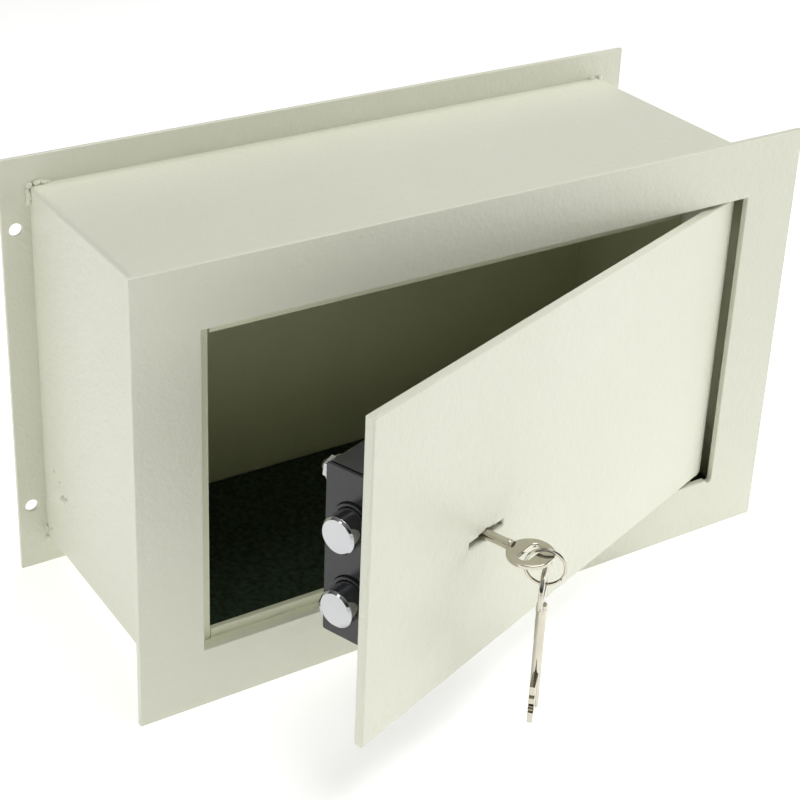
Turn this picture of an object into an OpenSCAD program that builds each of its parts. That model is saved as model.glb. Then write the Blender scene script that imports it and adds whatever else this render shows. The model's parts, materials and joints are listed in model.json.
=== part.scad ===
// Key-locked wall safe: a folded steel box between a face plate and a drilled back plate, with a
// door on concealed pivots, a double-bitted lever lock with two round bolts, and two keys on a ring.
// Millimetres. Origin at the centre of the back plate's rear face, +X right, +Y into the wall, +Z up.

/* [Box] */
// Width of the face plate and of the back plate
plate_w = 310; // [305:1:330]
// Height of the face plate and of the back plate
plate_h = 190; // [185:1:210]
// Overall depth, from the face plate's front to the back plate's rear
depth = 122; // [110:1:180]
// Thickness of the face plate
plate_t = 3; // [2:0.5:4]
// Thickness of the back plate
back_t = 2; // [1.5:0.5:4]
// Width of the folded body, outside
body_w = 285; // [284:1:288]
// Height of the folded body, outside
body_h = 165; // [160:1:168]
// Thickness of the body sheet
sheet = 2; // [1.5:0.5:2]
// Outside radius of the body's folds
fold_r = 2.5; // [2.5:0.5:6]

/* [Wall fixing] */
// Distance between the fixing holes, side to side
hole_span_x = 298; // [296:1:300]
// Distance between the fixing holes, top to bottom
hole_span_z = 129; // [60:1:140]
// Diameter of a fixing hole
hole_d = 5.5; // [4:0.5:6]

/* [Door] */
// Width of the door opening
opening_w = 256; // [254:1:256]
// Height of the door opening
opening_h = 138; // [137:1:142]
// Width of the door
door_w = 249.7; // [248:0.1:249.7]
// Height of the door
door_h = 135; // [130:1:136]
// Thickness of the door
door_t = 4.2; // [3:0.1:4.6]
// How far the door stands open
door_angle = 20; // [0:1:100]

/* [Lock] */
// Width of the lock case
case_w = 89.5; // [88:0.5:95]
// Height of the lock case
case_h = 70.5; // [68:0.5:80]
// Depth of the lock case
case_d = 26; // [26:0.5:30]
// Diameter of the two locking bolts
bolt_d = 14.5; // [12:0.5:14.5]
// How far the bolts travel when the lock is thrown
bolt_throw = 12; // [8:1:12]
// Overall length of a key
key_len = 63.2; // [62:0.1:63.2]

/* [Hidden] */
$fn = 64;

paint = [0.87, 0.87, 0.80];
case_black = [0.12, 0.12, 0.13];
bright_steel = [0.80, 0.80, 0.82];
dull_steel = [0.55, 0.56, 0.58];
nickel = [0.78, 0.76, 0.68];
brass = [0.72, 0.58, 0.30];
felt = [0.06, 0.10, 0.07];

// Stations through the depth
face_y = -depth;              // face plate's front
plate_back_y = face_y + plate_t;
back_front_y = -back_t;       // back plate's front
body_len = back_front_y - plate_back_y;

// Opening, a little off centre towards the hinge side
opening_shift = 0.3;
opening_left = opening_shift - opening_w / 2;
opening_right = opening_shift + opening_w / 2;
opening_top = opening_h / 2;
relief_r = 1.7;               // corner relief at the hinge side's foot
relief_rise = 0.4;            // its centre, above the opening's lower edge

// Door stop: an angle with its leg flush with the opening's edge and its lip behind the door
stop_t = 2.8;
stop_lip_y = face_y + 5.7;    // front of the lip
stop_back_y = stop_lip_y + stop_t;
lip_left = 5.4;
lip_top = 5;
lip_bottom = 4.2;
stop_end_x = 97;              // the lips end before the hinge
stop_gap = 0.6;               // between the left and the top lip
stop_foot_gap = 0.05;         // between the left and the bottom lip
stop_left_x = opening_left + lip_left;

// Hinge: vertical axis behind the door, clear of its edge
hinge_gap = 2.3;              // between the door and the opening, hinge side
hinge_inset = 15.4;           // from the door's edge to the pivot
hinge_depth = 12;             // from the door's front to the pivot
hinge_x = opening_right - hinge_gap - hinge_inset;
hinge_y = face_y + hinge_depth;
pin_r = 3;
pin_clear = 0.05;
pin_proud = 1;                // pin's end, beyond the lug
knuckle_r = 5;
knuckle_h = 17;
knuckle_top = 67;
lug_bottom = 69.5;
lug_t = 4;
lug_r = 9;
bush_r = 4.5;
bush_flange_r = 6.5;
bush_flange_t = 1.3;
door_edge_r = 3.5;            // the hinge edge is rounded to clear the opening

// Lock, in the closed door's own frame: u from the free edge, t behind the door's face, z up
free_edge_x = opening_right - hinge_gap - door_w;
case_u = 13;
case_z = -1.65;               // middle of the case
case_wall = 1.2;
case_back = door_t + case_d;
stud_inset = 6;
stud_r = 2.5;
stud_end = case_back + 3.4;
washer_r = 5.5;
washer_t = 0.7;
nut_flats_r = 4.6;
nut_h = 2.4;
dome_r = 2.9;
base_t = 2;
base_clear = 0.8;             // between the base plate and the case's walls
hard_t = 2;
hard_half = 14;
bolt_r = bolt_d / 2;
bolt_u = 3.5;                 // bolt's end when drawn back
bolt_tail_u = 45;
bolt_t = 17.3;
bolt_span = 30.6;
bolt_mid_z = case_z - 0.9;
bolt_chamfer = 0.8;
guide_r = 8.75;
guide_clear = 0.05;
guide_proud = 1.2;
guide_end_u = 19;

// Key, in the same frame: its axis stands square to the door
key_u = 71.5;
key_z = -12.8;
shank_r = 2;
bit_half = 10.5;
bit_t = 2.2;
bit_len = 16.5;
bow_far = 28.3;               // bow's end, in front of the door
bow_len = 17.6;
bow_half_w = 9.4;
bow_t = 1.8;
bow_rim = 6.7;                // metal between the slot and the bow's end
bow_slot_w = 4.4;
bow_slot_half = 6.2;
bow_neck = 2.4;
bow_neck_len = 2.5;
shank_seat = 1.2;             // length of shank let into the bow
key_tip = key_len - bow_far;  // tip, behind the door's face
// Notches filed in the bits: distance from the tip, width, depth
bit_notches = [[4.6, 1.3, 2.2], [6.1, 1.3, 1.2], [7.6, 1.2, 2.6], [11.2, 1.6, 1.8]];

// Keyway and barrel
slot_half = 11;
slot_h = 2.6;
slot_round_r = 2.6;
slot_step_half = 5;
slot_step_h = 3.8;
barrel_r = 7;
barrel_front = 8.4;
barrel_bore_r = 2.2;
barrel_disc_r = 11;
barrel_tip_gap = 0.4;
barrel_disc_front = key_tip + barrel_tip_gap;
barrel_disc_t = 1.8;
cap_flange_r = 16;
cap_flange_t = 1;
cap_wall = 1.5;
cap_bore_r = barrel_disc_r + 0.05;  // running fit
cap_end_gap = 0.2;
cap_end_t = 1.2;

// Bolt carriage
block_u = bolt_tail_u;
block_w = 6;
block_t0 = 11;
arm_t0 = 21;
arm_t1 = 24;
block_z0 = -25.5;
block_z1 = 19.5;
arm_z0 = key_z + 7.4;
arm_z1 = key_z + 24;
arm_end_u = 89.5;
talon_u = key_u + 5.8;        // middle of the notch the key's bit pushes in
talon_half = 6.6;
talon_top = key_z + 11.2;
post_u = 57.5;
post_z = key_z + 17.6;
post_r = 2.5;
post_slot_r = 2.6;
post_head_r = 3.8;
post_head_t = 1.7;
post_head_gap = 0.3;
screw_r = 2.5;
screw_head_r = 3.5;
screw_head_h = 3;
screw_len = 12;
hex_r = 1.7;
hex_deep = 1.8;

// Levers
lever_post_u = 94;
lever_post_z = key_z + 16;
lever_t0 = 24.4;
lever_t = 1.1;
lever_pitch = 1.35;
lever_clear = 0.06;
lever_left_u = 62;
lever_boss_r = 5.5;
lever_relief = 2;             // cut above the boss, where the spring lies
lever_z0 = key_z + 10.9;
lever_z1 = key_z + 26;
window_u0 = 65.5;
window_u1 = 83;
window_z0 = key_z + 13.8;
window_z1 = key_z + 22.7;
fence_u = 80;
fence_z = key_z + 20;
fence_r = 1.5;
fence_end = lever_t0 + 2 * lever_pitch + lever_t;
spring_z = key_z + 27.4;      // leaf's root, above the levers
spring_tilt = 7.2;
spring_t = 0.4;
spring_len = 37;
spring_foot = 9;              // part riveted to the wall

// Ring and spare key, hanging from the bow; d is the ring's plane, turned from the door's normal
ring_r = 7.5;
ring_wire_r = 0.6;
ring_turn = 25.5;
ring_u = key_u + 2.9;
ring_out = 24.4;
ring_drop = 5;
spare_clear = 0.15;

carpet_t = 2.5;
carpet_side_gap = 2;          // clears the body's inner folds
carpet_end_gap = 1;
weld_leg = 2.5;
weld_len = 8;
weld_inset = 5.5;             // a bead's middle, from the body's corner

// ---------------------------------------------------------------- helpers

// Rectangle with round corners, made of true arcs
module round_rect(w, h, r) {
    union() {
        square([w - 2 * r, h], center = true);
        square([w, h - 2 * r], center = true);
        for (x = [-1, 1], y = [-1, 1]) {
            translate([x * (w / 2 - r), y * (h / 2 - r)]) circle(r);
        }
    }
}

// Places what follows on the door, which stands open about the hinge
module on_door() {
    translate([hinge_x, hinge_y, 0])
        rotate([0, 0, door_angle])
            translate([free_edge_x - hinge_x, face_y - hinge_y, 0])
                children();
}

// Cylinder square to the door, from depth t0 to t1 behind its face
module through_door(u, z, r, t0, t1) {
    translate([u, t0, z]) rotate([-90, 0, 0]) cylinder(r = r, h = t1 - t0);
}

// Cylinder along the door's width, from u0 to u1
module along_door(u0, u1, t, z, r) {
    translate([u0, t, z]) rotate([0, 90, 0]) cylinder(r = r, h = u1 - u0);
}

// Box in the door's frame, from corner to corner
module door_box(u0, t0, z0, u1, t1, z1) {
    translate([u0, t0, z0]) cube([u1 - u0, t1 - t0, z1 - z0]);
}

// The keyhole's outline, cut from depth t0 to t1
module keyhole(t0, t1) {
    door_box(key_u - slot_half, t0, key_z - slot_h / 2, key_u + slot_half, t1, key_z + slot_h / 2);
    door_box(key_u - slot_step_half, t0, key_z - slot_step_h / 2,
             key_u + slot_step_half, t1, key_z + slot_step_h / 2);
    through_door(key_u, key_z, slot_round_r, t0, t1);
}

// Does something at each corner stud of the lock case
module at_studs() {
    for (side = [0, 1], level = [-1, 1]) {
        u = case_u + stud_inset + side * (case_w - 2 * stud_inset);
        z = case_z + level * (case_h / 2 - stud_inset);
        translate([u, 0, z]) children();
    }
}

// ---------------------------------------------------------------- box

module front_plate() {
    color(paint) difference() {
        translate([-plate_w / 2, face_y, -plate_h / 2]) cube([plate_w, plate_t, plate_h]);
        translate([opening_left, face_y - 1, -opening_top]) cube([opening_w, plate_t + 2, opening_h]);
        translate([opening_right - relief_r, face_y - 1, relief_rise - opening_top])
            rotate([-90, 0, 0]) cylinder(r = relief_r, h = plate_t + 2);
    }
}

module stop_left() {
    color(paint) {
        translate([opening_left - stop_t, plate_back_y, -opening_top])
            cube([stop_t, stop_back_y - plate_back_y, opening_h]);
        translate([opening_left - stop_t, stop_lip_y, -opening_top])
            cube([stop_t + lip_left, stop_t, opening_h]);
    }
}

// One angle of the door stop; side is 1 at the top and -1 at the bottom
module level_stop(side, lip, gap) {
    x0 = stop_left_x + gap;
    flip = side < 0 ? 1 : 0;
    color(paint) mirror([0, 0, flip]) {
        translate([opening_left, plate_back_y, opening_top])
            cube([stop_end_x - opening_left, stop_back_y - plate_back_y, stop_t]);
        translate([x0, stop_lip_y, opening_top - lip])
            cube([stop_end_x - x0, stop_t, lip + stop_t]);
    }
}

module body_shell() {
    color(paint) translate([0, back_front_y, 0]) rotate([90, 0, 0])
        linear_extrude(height = body_len) difference() {
            round_rect(body_w, body_h, fold_r);
            round_rect(body_w - 2 * sheet, body_h - 2 * sheet, fold_r - sheet);
        }
}

module back_plate() {
    color(paint) difference() {
        translate([-plate_w / 2, back_front_y, -plate_h / 2]) cube([plate_w, back_t, plate_h]);
        for (x = [-1, 1], z = [-1, 1]) {
            translate([x * hole_span_x / 2, -back_t - 1, z * hole_span_z / 2])
                rotate([-90, 0, 0]) cylinder(r = hole_d / 2, h = back_t + 2);
        }
    }
}

// A fillet bead along X on the top of the body; corner is towards +Y when face is 1
module bead(face) {
    rotate([0, 90, 0]) linear_extrude(height = weld_len, center = true)
        polygon([[0, 0], [-weld_leg, 0], [0, -face * weld_leg]]);
}

// Beads round the body where it meets a plate; at is the plate's face
module beads(at, face) {
    color(paint) {
        for (side = [0, 180], x = [-1, 1]) {
            rotate([0, side, 0]) translate([x * (body_w / 2 - weld_inset), at, body_h / 2]) bead(face);
        }
        for (side = [90, 270], z = [-1, 1]) {
            rotate([0, side, 0]) translate([z * (body_h / 2 - weld_inset), at, body_w / 2]) bead(face);
        }
    }
}

module hinge_lug(side) {
    flip = side < 0 ? 1 : 0;
    color(paint) mirror([0, 0, flip]) difference() {
        union() {
            translate([hinge_x - lug_r, plate_back_y, lug_bottom])
                cube([2 * lug_r, hinge_y - plate_back_y, lug_t]);
            translate([hinge_x, hinge_y, lug_bottom]) cylinder(r = lug_r, h = lug_t);
        }
        translate([hinge_x, hinge_y, lug_bottom - 1]) cylinder(r = bush_r, h = lug_t + 2);
    }
}

module hinge_bush(side) {
    flip = side < 0 ? 1 : 0;
    low = lug_bottom - bush_flange_t;
    color(brass) mirror([0, 0, flip]) translate([hinge_x, hinge_y, low]) difference() {
        union() {
            cylinder(r = bush_flange_r, h = bush_flange_t);
            cylinder(r = bush_r, h = bush_flange_t + lug_t);
        }
        translate([0, 0, -1]) cylinder(r = pin_r + pin_clear, h = bush_flange_t + lug_t + 2);
    }
}

module floor_carpet() {
    w = body_w - 2 * sheet - 2 * carpet_side_gap;
    color(felt) translate([-w / 2, plate_back_y + carpet_end_gap, sheet - body_h / 2])
        cube([w, body_len - 2 * carpet_end_gap, carpet_t]);
}

// ---------------------------------------------------------------- door

module door_plate() {
    color(paint) on_door() difference() {
        translate([0, 0, -door_h / 2]) linear_extrude(height = door_h) union() {
            square([door_w - door_edge_r, door_t]);
            translate([door_w - door_edge_r, door_edge_r]) circle(door_edge_r);
            translate([door_w - 2 * door_edge_r, door_edge_r])
                square([2 * door_edge_r, door_t - door_edge_r]);
        }
        keyhole(-1, door_t + 1);
    }
}

module hinge_knuckle(side) {
    flip = side < 0 ? 1 : 0;
    u = door_w - hinge_inset;
    low = knuckle_top - knuckle_h;
    color(paint) on_door() mirror([0, 0, flip]) difference() {
        union() {
            door_box(u - knuckle_r, door_t, low, u + knuckle_r, hinge_depth, knuckle_top);
            translate([u, hinge_depth, low]) cylinder(r = knuckle_r, h = knuckle_h);
        }
        translate([u, hinge_depth, low - 1]) cylinder(r = pin_r, h = knuckle_h + 2);
    }
}

module hinge_pin(side) {
    flip = side < 0 ? 1 : 0;
    low = knuckle_top - knuckle_h;
    high = lug_bottom + lug_t + pin_proud;
    color(dull_steel) on_door() mirror([0, 0, flip])
        translate([door_w - hinge_inset, hinge_depth, low]) cylinder(r = pin_r, h = high - low);
}

// ---------------------------------------------------------------- lock case

module lock_base_plate() {
    edge = case_wall + base_clear;
    color(dull_steel) on_door() difference() {
        door_box(case_u + edge, door_t, case_z + edge - case_h / 2,
                 case_u + case_w - edge, door_t + base_t, case_z + case_h / 2 - edge);
        keyhole(door_t - 1, door_t + base_t + 1);
        at_studs() translate([0, door_t - 1, 0]) rotate([-90, 0, 0]) cylinder(r = stud_r, h = base_t + 2);
    }
}

module hard_plate() {
    front = door_t + base_t;
    color(bright_steel) on_door() difference() {
        door_box(key_u - hard_half, front, key_z - hard_half,
                 key_u + hard_half, front + hard_t, key_z + hard_half);
        keyhole(front - 1, front + hard_t + 1);
        through_door(post_u, post_z, post_r, front - 1, front + hard_t + 1);
    }
}

module lock_case() {
    z0 = case_z - case_h / 2;
    z1 = case_z + case_h / 2;
    color(case_black) on_door() difference() {
        door_box(case_u, door_t, z0, case_u + case_w, case_back, z1);
        door_box(case_u + case_wall, door_t - 1, z0 + case_wall,
                 case_u + case_w - case_wall, case_back - case_wall, z1 - case_wall);
        for (side = [-1, 1]) {
            along_door(case_u - 1, case_u + case_wall + 1, bolt_t, bolt_level(side), guide_r);
        }
        through_door(key_u, key_z, cap_bore_r, case_back - case_wall - 1, case_back + 1);
        at_studs() translate([0, case_back - case_wall - 1, 0])
            rotate([-90, 0, 0]) cylinder(r = stud_r, h = case_wall + 2);
    }
}

module case_studs() {
    color(dull_steel) on_door() at_studs()
        translate([0, door_t, 0]) rotate([-90, 0, 0]) cylinder(r = stud_r, h = stud_end - door_t);
}

module stud_washers() {
    color(bright_steel) on_door() at_studs()
        translate([0, case_back, 0]) rotate([-90, 0, 0]) difference() {
            cylinder(r = washer_r, h = washer_t);
            translate([0, 0, -1]) cylinder(r = stud_r, h = washer_t + 2);
        }
}

// A hexagon nut closed by a dome
module cap_nut() {
    difference() {
        union() {
            cylinder(r = nut_flats_r, h = nut_h, $fn = 6);
            intersection() {
                translate([0, 0, nut_h]) sphere(r = dome_r);
                cylinder(r = dome_r, h = nut_h + dome_r);
            }
        }
        translate([0, 0, -1]) cylinder(r = stud_r, h = stud_end - case_back - washer_t + 1);
    }
}

module cap_nuts() {
    color(bright_steel) on_door() at_studs()
        translate([0, case_back + washer_t, 0]) rotate([-90, 0, 0]) cap_nut();
}

// Height of the upper bolt (side 1) or the lower bolt (side -1)
function bolt_level(side) = bolt_mid_z + side * bolt_span / 2;

module bolt_guide(side) {
    color(case_black) on_door() difference() {
        along_door(case_u - guide_proud, guide_end_u, bolt_t, bolt_level(side), guide_r);
        along_door(case_u - guide_proud - 1, guide_end_u + 1, bolt_t, bolt_level(side), bolt_r + guide_clear);
    }
}

module key_end_cap() {
    end = barrel_disc_front + barrel_disc_t + cap_end_gap;
    color(case_black) on_door() difference() {
        union() {
            through_door(key_u, key_z, cap_flange_r, case_back, case_back + cap_flange_t);
            through_door(key_u, key_z, cap_bore_r + cap_wall, case_back, end + cap_end_t);
        }
        through_door(key_u, key_z, cap_bore_r, case_back - 1, end);
    }
}

module carriage_post() {
    head_t = arm_t1 + post_head_gap;
    color(dull_steel) on_door() union() {
        through_door(post_u, post_z, post_r, door_t + base_t, head_t);
        through_door(post_u, post_z, post_head_r, head_t, head_t + post_head_t);
    }
}

module lever_post() {
    color(dull_steel) on_door()
        through_door(lever_post_u, lever_post_z, post_r, door_t + base_t, case_back - case_wall);
}

// One leaf over each lever, riveted to the case's side wall
module lever_springs() {
    wall_u = case_u + case_w - case_wall;
    color(bright_steel) on_door() for (i = [0:2]) {
        t0 = lever_t0 + i * lever_pitch;
        union() {
            translate([wall_u - spring_t, t0, spring_z]) rotate([0, spring_tilt, 0])
                translate([-spring_len, 0, 0]) cube([spring_len, lever_t, spring_t]);
            door_box(wall_u - spring_t, t0, spring_z - spring_t,
                     wall_u, t0 + lever_t, spring_z + spring_foot);
        }
    }
}

// ---------------------------------------------------------------- bolt work

module locking_bolt(side) {
    color(bright_steel) on_door() difference() {
        translate([bolt_u, bolt_t, bolt_level(side)]) rotate([0, 90, 0]) union() {
            cylinder(r1 = bolt_r - bolt_chamfer, r2 = bolt_r, h = bolt_chamfer);
            translate([0, 0, bolt_chamfer]) cylinder(r = bolt_r, h = bolt_tail_u - bolt_u - bolt_chamfer);
        }
        along_door(block_u + block_w - screw_len, bolt_tail_u + 1, bolt_t, bolt_level(side), screw_r);
    }
}

module bolt_carriage() {
    color(dull_steel) on_door() difference() {
        union() {
            door_box(block_u, block_t0, block_z0, block_u + block_w, arm_t1, block_z1);
            door_box(block_u, arm_t0, arm_z0, arm_end_u, arm_t1, arm_z1);
        }
        door_box(talon_u - talon_half, arm_t0 - 1, arm_z0 - 1, talon_u + talon_half, arm_t1 + 1, talon_top);
        door_box(post_u, arm_t0 - 1, post_z - post_slot_r,
                 post_u + bolt_throw, arm_t1 + 1, post_z + post_slot_r);
        through_door(post_u, post_z, post_slot_r, arm_t0 - 1, arm_t1 + 1);
        through_door(post_u + bolt_throw, post_z, post_slot_r, arm_t0 - 1, arm_t1 + 1);
        through_door(fence_u, fence_z, fence_r, arm_t0 - 1, arm_t1 + 1);
        for (side = [-1, 1]) {
            along_door(block_u - 1, block_u + block_w + 1, bolt_t, bolt_level(side), screw_r);
        }
    }
}

module bolt_screws() {
    head_u = block_u + block_w;
    color(dull_steel) on_door() for (side = [-1, 1]) {
        difference() {
            union() {
                along_door(head_u - screw_len, head_u, bolt_t, bolt_level(side), screw_r);
                along_door(head_u, head_u + screw_head_h, bolt_t, bolt_level(side), screw_head_r);
            }
            translate([head_u + screw_head_h - hex_deep, bolt_t, bolt_level(side)])
                rotate([0, 90, 0]) cylinder(r = hex_r, h = hex_deep + 1, $fn = 6);
        }
    }
}

module fence_pin() {
    color(dull_steel) on_door() through_door(fence_u, fence_z, fence_r, arm_t0, fence_end);
}

// ---------------------------------------------------------------- levers and barrel

module lever(i) {
    t0 = lever_t0 + (i - 1) * lever_pitch;
    t1 = t0 + lever_t;
    color(brass) on_door() difference() {
        union() {
            door_box(lever_left_u, t0, lever_z0, lever_post_u, t1, lever_z1);
            through_door(lever_post_u, lever_post_z, lever_boss_r, t0, t1);
        }
        door_box(window_u0, t0 - 1, window_z0, window_u1, t1 + 1, window_z1);
        through_door(lever_post_u, lever_post_z, post_r + lever_clear, t0 - 1, t1 + 1);
        door_box(lever_post_u - lever_boss_r - lever_relief, t0 - 1, lever_post_z + lever_boss_r,
                 lever_post_u + 1, t1 + 1, lever_z1 + 1);
    }
}

module key_barrel() {
    slot_end = barrel_disc_front;
    color(brass) on_door() difference() {
        union() {
            through_door(key_u, key_z, barrel_r, barrel_front, slot_end);
            through_door(key_u, key_z, barrel_disc_r, slot_end, slot_end + barrel_disc_t);
        }
        door_box(key_u - slot_half, barrel_front - 1, key_z - slot_h / 2,
                 key_u + slot_half, slot_end, key_z + slot_h / 2);
        through_door(key_u, key_z, barrel_bore_r, barrel_front - 1, slot_end);
    }
}

// ---------------------------------------------------------------- keys

// A key lies along +Y from the bow's end at y = 0 to its tip; its bow and bits lie in the XY plane
module blade() {
    shank_y = bow_len - shank_seat;
    difference() {
        union() {
            translate([0, shank_y, 0]) rotate([-90, 0, 0]) cylinder(r = shank_r, h = key_len - shank_y);
            translate([-bit_half, key_len - bit_len, -bit_t / 2]) cube([2 * bit_half, bit_len, bit_t]);
        }
        for (notch = bit_notches, side = [0, 1]) {
            mirror([side, 0, 0])
                translate([bit_half - notch[2], key_len - notch[0] - notch[1], -bit_t])
                    cube([notch[2] + 1, notch[1], 2 * bit_t]);
        }
    }
}

module bow() {
    r = bow_len / 2;
    spread = bow_half_w - r;
    slot_mid = bow_rim + bow_slot_w / 2;
    slot_r = bow_slot_w / 2;
    translate([0, 0, -bow_t / 2]) difference() {
        linear_extrude(height = bow_t) difference() {
            union() {
                for (side = [-1, 1]) {
                    translate([side * spread, r]) circle(r);
                }
                translate([-spread, 0]) square([2 * spread, 2 * r]);
                translate([-bow_neck, r]) square([2 * bow_neck, r + bow_neck_len]);
            }
            for (side = [-1, 1]) {
                translate([side * (bow_slot_half - slot_r), slot_mid]) circle(slot_r);
            }
            translate([slot_r - bow_slot_half, slot_mid - slot_r])
                square([2 * (bow_slot_half - slot_r), bow_slot_w]);
        }
        translate([0, bow_len - shank_seat, bow_t / 2]) rotate([-90, 0, 0])
            cylinder(r = shank_r, h = bow_len);
    }
}

// The key in the lock lies flat, its bow's end in front of the door
module in_lock() {
    on_door() translate([key_u, -bow_far, key_z]) children();
}

// The ring's frame: centre of the ring, +Y along its plane
module at_ring() {
    on_door() translate([ring_u, -ring_out, key_z - ring_drop]) rotate([0, 0, ring_turn]) children();
}

// The spare key hangs tip down on the ring's lowest point
module on_ring() {
    hang = ring_wire_r - ring_r + spare_clear + bow_rim;
    at_ring() translate([0, 0, hang]) rotate([-90, 0, 0]) children();
}

module key_ring() {
    color(nickel) at_ring() rotate([0, 90, 0]) rotate_extrude()
        translate([ring_r, 0]) circle(ring_wire_r, $fn = 24);
}

// ---------------------------------------------------------------- assembly

front_plate();
stop_left();
level_stop(1, lip_top, stop_gap);  // stop_top
level_stop(-1, lip_bottom, stop_foot_gap);  // stop_bottom
body_shell();
back_plate();
beads(plate_back_y, -1);  // front_welds
beads(back_front_y, 1);  // back_welds
hinge_lug(1);  // upper_hinge_lug
hinge_lug(-1);  // lower_hinge_lug
hinge_bush(1);  // upper_hinge_bush
hinge_bush(-1);  // lower_hinge_bush
floor_carpet();
door_plate();
hinge_knuckle(1);  // upper_hinge_knuckle
hinge_knuckle(-1);  // lower_hinge_knuckle
hinge_pin(1);  // upper_hinge_pin
hinge_pin(-1);  // lower_hinge_pin
lock_base_plate();
hard_plate();
lock_case();
case_studs();
stud_washers();
cap_nuts();
bolt_guide(1);  // upper_bolt_guide
bolt_guide(-1);  // lower_bolt_guide
key_end_cap();
carriage_post();
lever_post();
lever_springs();
locking_bolt(1);  // upper_bolt
locking_bolt(-1);  // lower_bolt
bolt_carriage();
bolt_screws();
fence_pin();
lever(1);  // lever_1
lever(2);  // lever_2
lever(3);  // lever_3
key_barrel();
color(nickel) in_lock() blade();  // key_blade
color(nickel) in_lock() bow();  // key_bow
key_ring();
color(nickel) on_ring() blade();  // spare_key_blade
color(nickel) on_ring() bow();  // spare_key_bow
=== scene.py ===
"""Looks of the wall safe: detailed meshes, finishes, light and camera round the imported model."""

import json
import math
import random

import bmesh
import bpy
from mathutils import Matrix, Vector, noise


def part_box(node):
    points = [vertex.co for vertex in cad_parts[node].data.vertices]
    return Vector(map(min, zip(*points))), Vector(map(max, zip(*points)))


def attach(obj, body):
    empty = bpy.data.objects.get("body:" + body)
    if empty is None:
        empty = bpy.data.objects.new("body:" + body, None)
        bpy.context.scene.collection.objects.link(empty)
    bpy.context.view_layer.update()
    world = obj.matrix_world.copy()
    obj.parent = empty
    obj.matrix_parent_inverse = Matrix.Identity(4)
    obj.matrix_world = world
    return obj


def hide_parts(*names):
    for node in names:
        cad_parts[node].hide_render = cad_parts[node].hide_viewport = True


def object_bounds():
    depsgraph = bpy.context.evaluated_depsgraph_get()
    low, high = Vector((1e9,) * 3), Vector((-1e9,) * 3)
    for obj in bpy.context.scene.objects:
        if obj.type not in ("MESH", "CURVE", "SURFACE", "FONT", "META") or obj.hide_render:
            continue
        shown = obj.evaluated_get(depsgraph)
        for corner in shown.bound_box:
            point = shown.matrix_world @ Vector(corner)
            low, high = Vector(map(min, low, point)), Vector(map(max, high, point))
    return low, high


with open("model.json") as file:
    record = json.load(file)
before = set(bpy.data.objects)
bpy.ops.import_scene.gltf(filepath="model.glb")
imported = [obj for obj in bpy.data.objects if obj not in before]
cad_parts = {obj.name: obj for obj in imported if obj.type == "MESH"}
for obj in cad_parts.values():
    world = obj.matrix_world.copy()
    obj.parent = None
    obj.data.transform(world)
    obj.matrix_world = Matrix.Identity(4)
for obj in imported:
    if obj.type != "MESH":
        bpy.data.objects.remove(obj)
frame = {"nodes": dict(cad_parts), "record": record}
cad_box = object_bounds()

MM = 0.001
ORIGIN = Vector((0, 0, 0))
RIGHT = Vector((1, 0, 0))
FORWARD = Vector((0, -1, 0))
UP = Vector((0, 0, 1))


# ---------------------------------------------------------------- frames

def axes(origin, x, y):
    """A frame from its origin and its x and y directions, of unit length."""
    z = x.cross(y)
    rows = [(x[i], y[i], z[i], origin[i]) for i in range(3)]
    return Matrix(rows + [(0, 0, 0, 1)])


def joint(name):
    """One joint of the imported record."""
    joints = frame["record"]["behaviour"]["joints"]
    return next(j for j in joints if j["name"] == name)


# Each frame is a front view: x to the right, y up, z out of the face
BOX = axes(ORIGIN, RIGHT, UP)
DOOR_OUT = Vector(joint("key_turn")["axis"]).normalized()
DOOR_ACROSS = Vector((-DOOR_OUT.y, DOOR_OUT.x, 0))
DOOR = axes(Vector(joint("door_hinge")["pos_m"]), DOOR_ACROSS, UP)
# The key ring hangs in an upright plane that holds the axis it swings on
RING_ACROSS = Vector(joint("ring_swing")["axis"]).normalized()
RING_NORMAL = Vector((-RING_ACROSS.y, RING_ACROSS.x, 0))


def local_box(node, placing):
    """Lowest and highest corner of a CAD node in a frame, in millimetres."""
    inverse = placing.inverted()
    points = [inverse @ v.co for v in frame["nodes"][node].data.vertices]
    low = Vector([min(p[i] for p in points) for i in range(3)]) / MM
    high = Vector([max(p[i] for p in points) for i in range(3)]) / MM
    return low, high


def shifted(placing, x, y, z, turn=None):
    """A frame moved by millimetres within itself, and turned."""
    moved = placing @ Matrix.Translation(Vector((x, y, z)) * MM)
    return moved @ turn if turn else moved


def turned(angle, axis):
    return Matrix.Rotation(math.radians(angle), 4, axis)


# ---------------------------------------------------------------- meshes, in millimetres

def arc(cx, cy, radius, start, end, steps=8):
    """Points on an arc, angles in degrees."""
    angles = [math.radians(start + (end - start) * i / steps) for i in range(steps + 1)]
    return [(cx + radius * math.cos(a), cy + radius * math.sin(a)) for a in angles]


def circle(cx, cy, radius, steps=48):
    return arc(cx, cy, radius, 0, 360 - 360 / steps, steps - 1)


def rectangle(x0, y0, x1, y1, radius=0.0):
    """Outline of a rectangle with round corners."""
    if not radius:
        return [(x0, y0), (x1, y0), (x1, y1), (x0, y1)]
    return (
        arc(x1 - radius, y1 - radius, radius, 0, 90)
        + arc(x0 + radius, y1 - radius, radius, 90, 180)
        + arc(x0 + radius, y0 + radius, radius, 180, 270)
        + arc(x1 - radius, y0 + radius, radius, 270, 360)
    )


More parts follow.
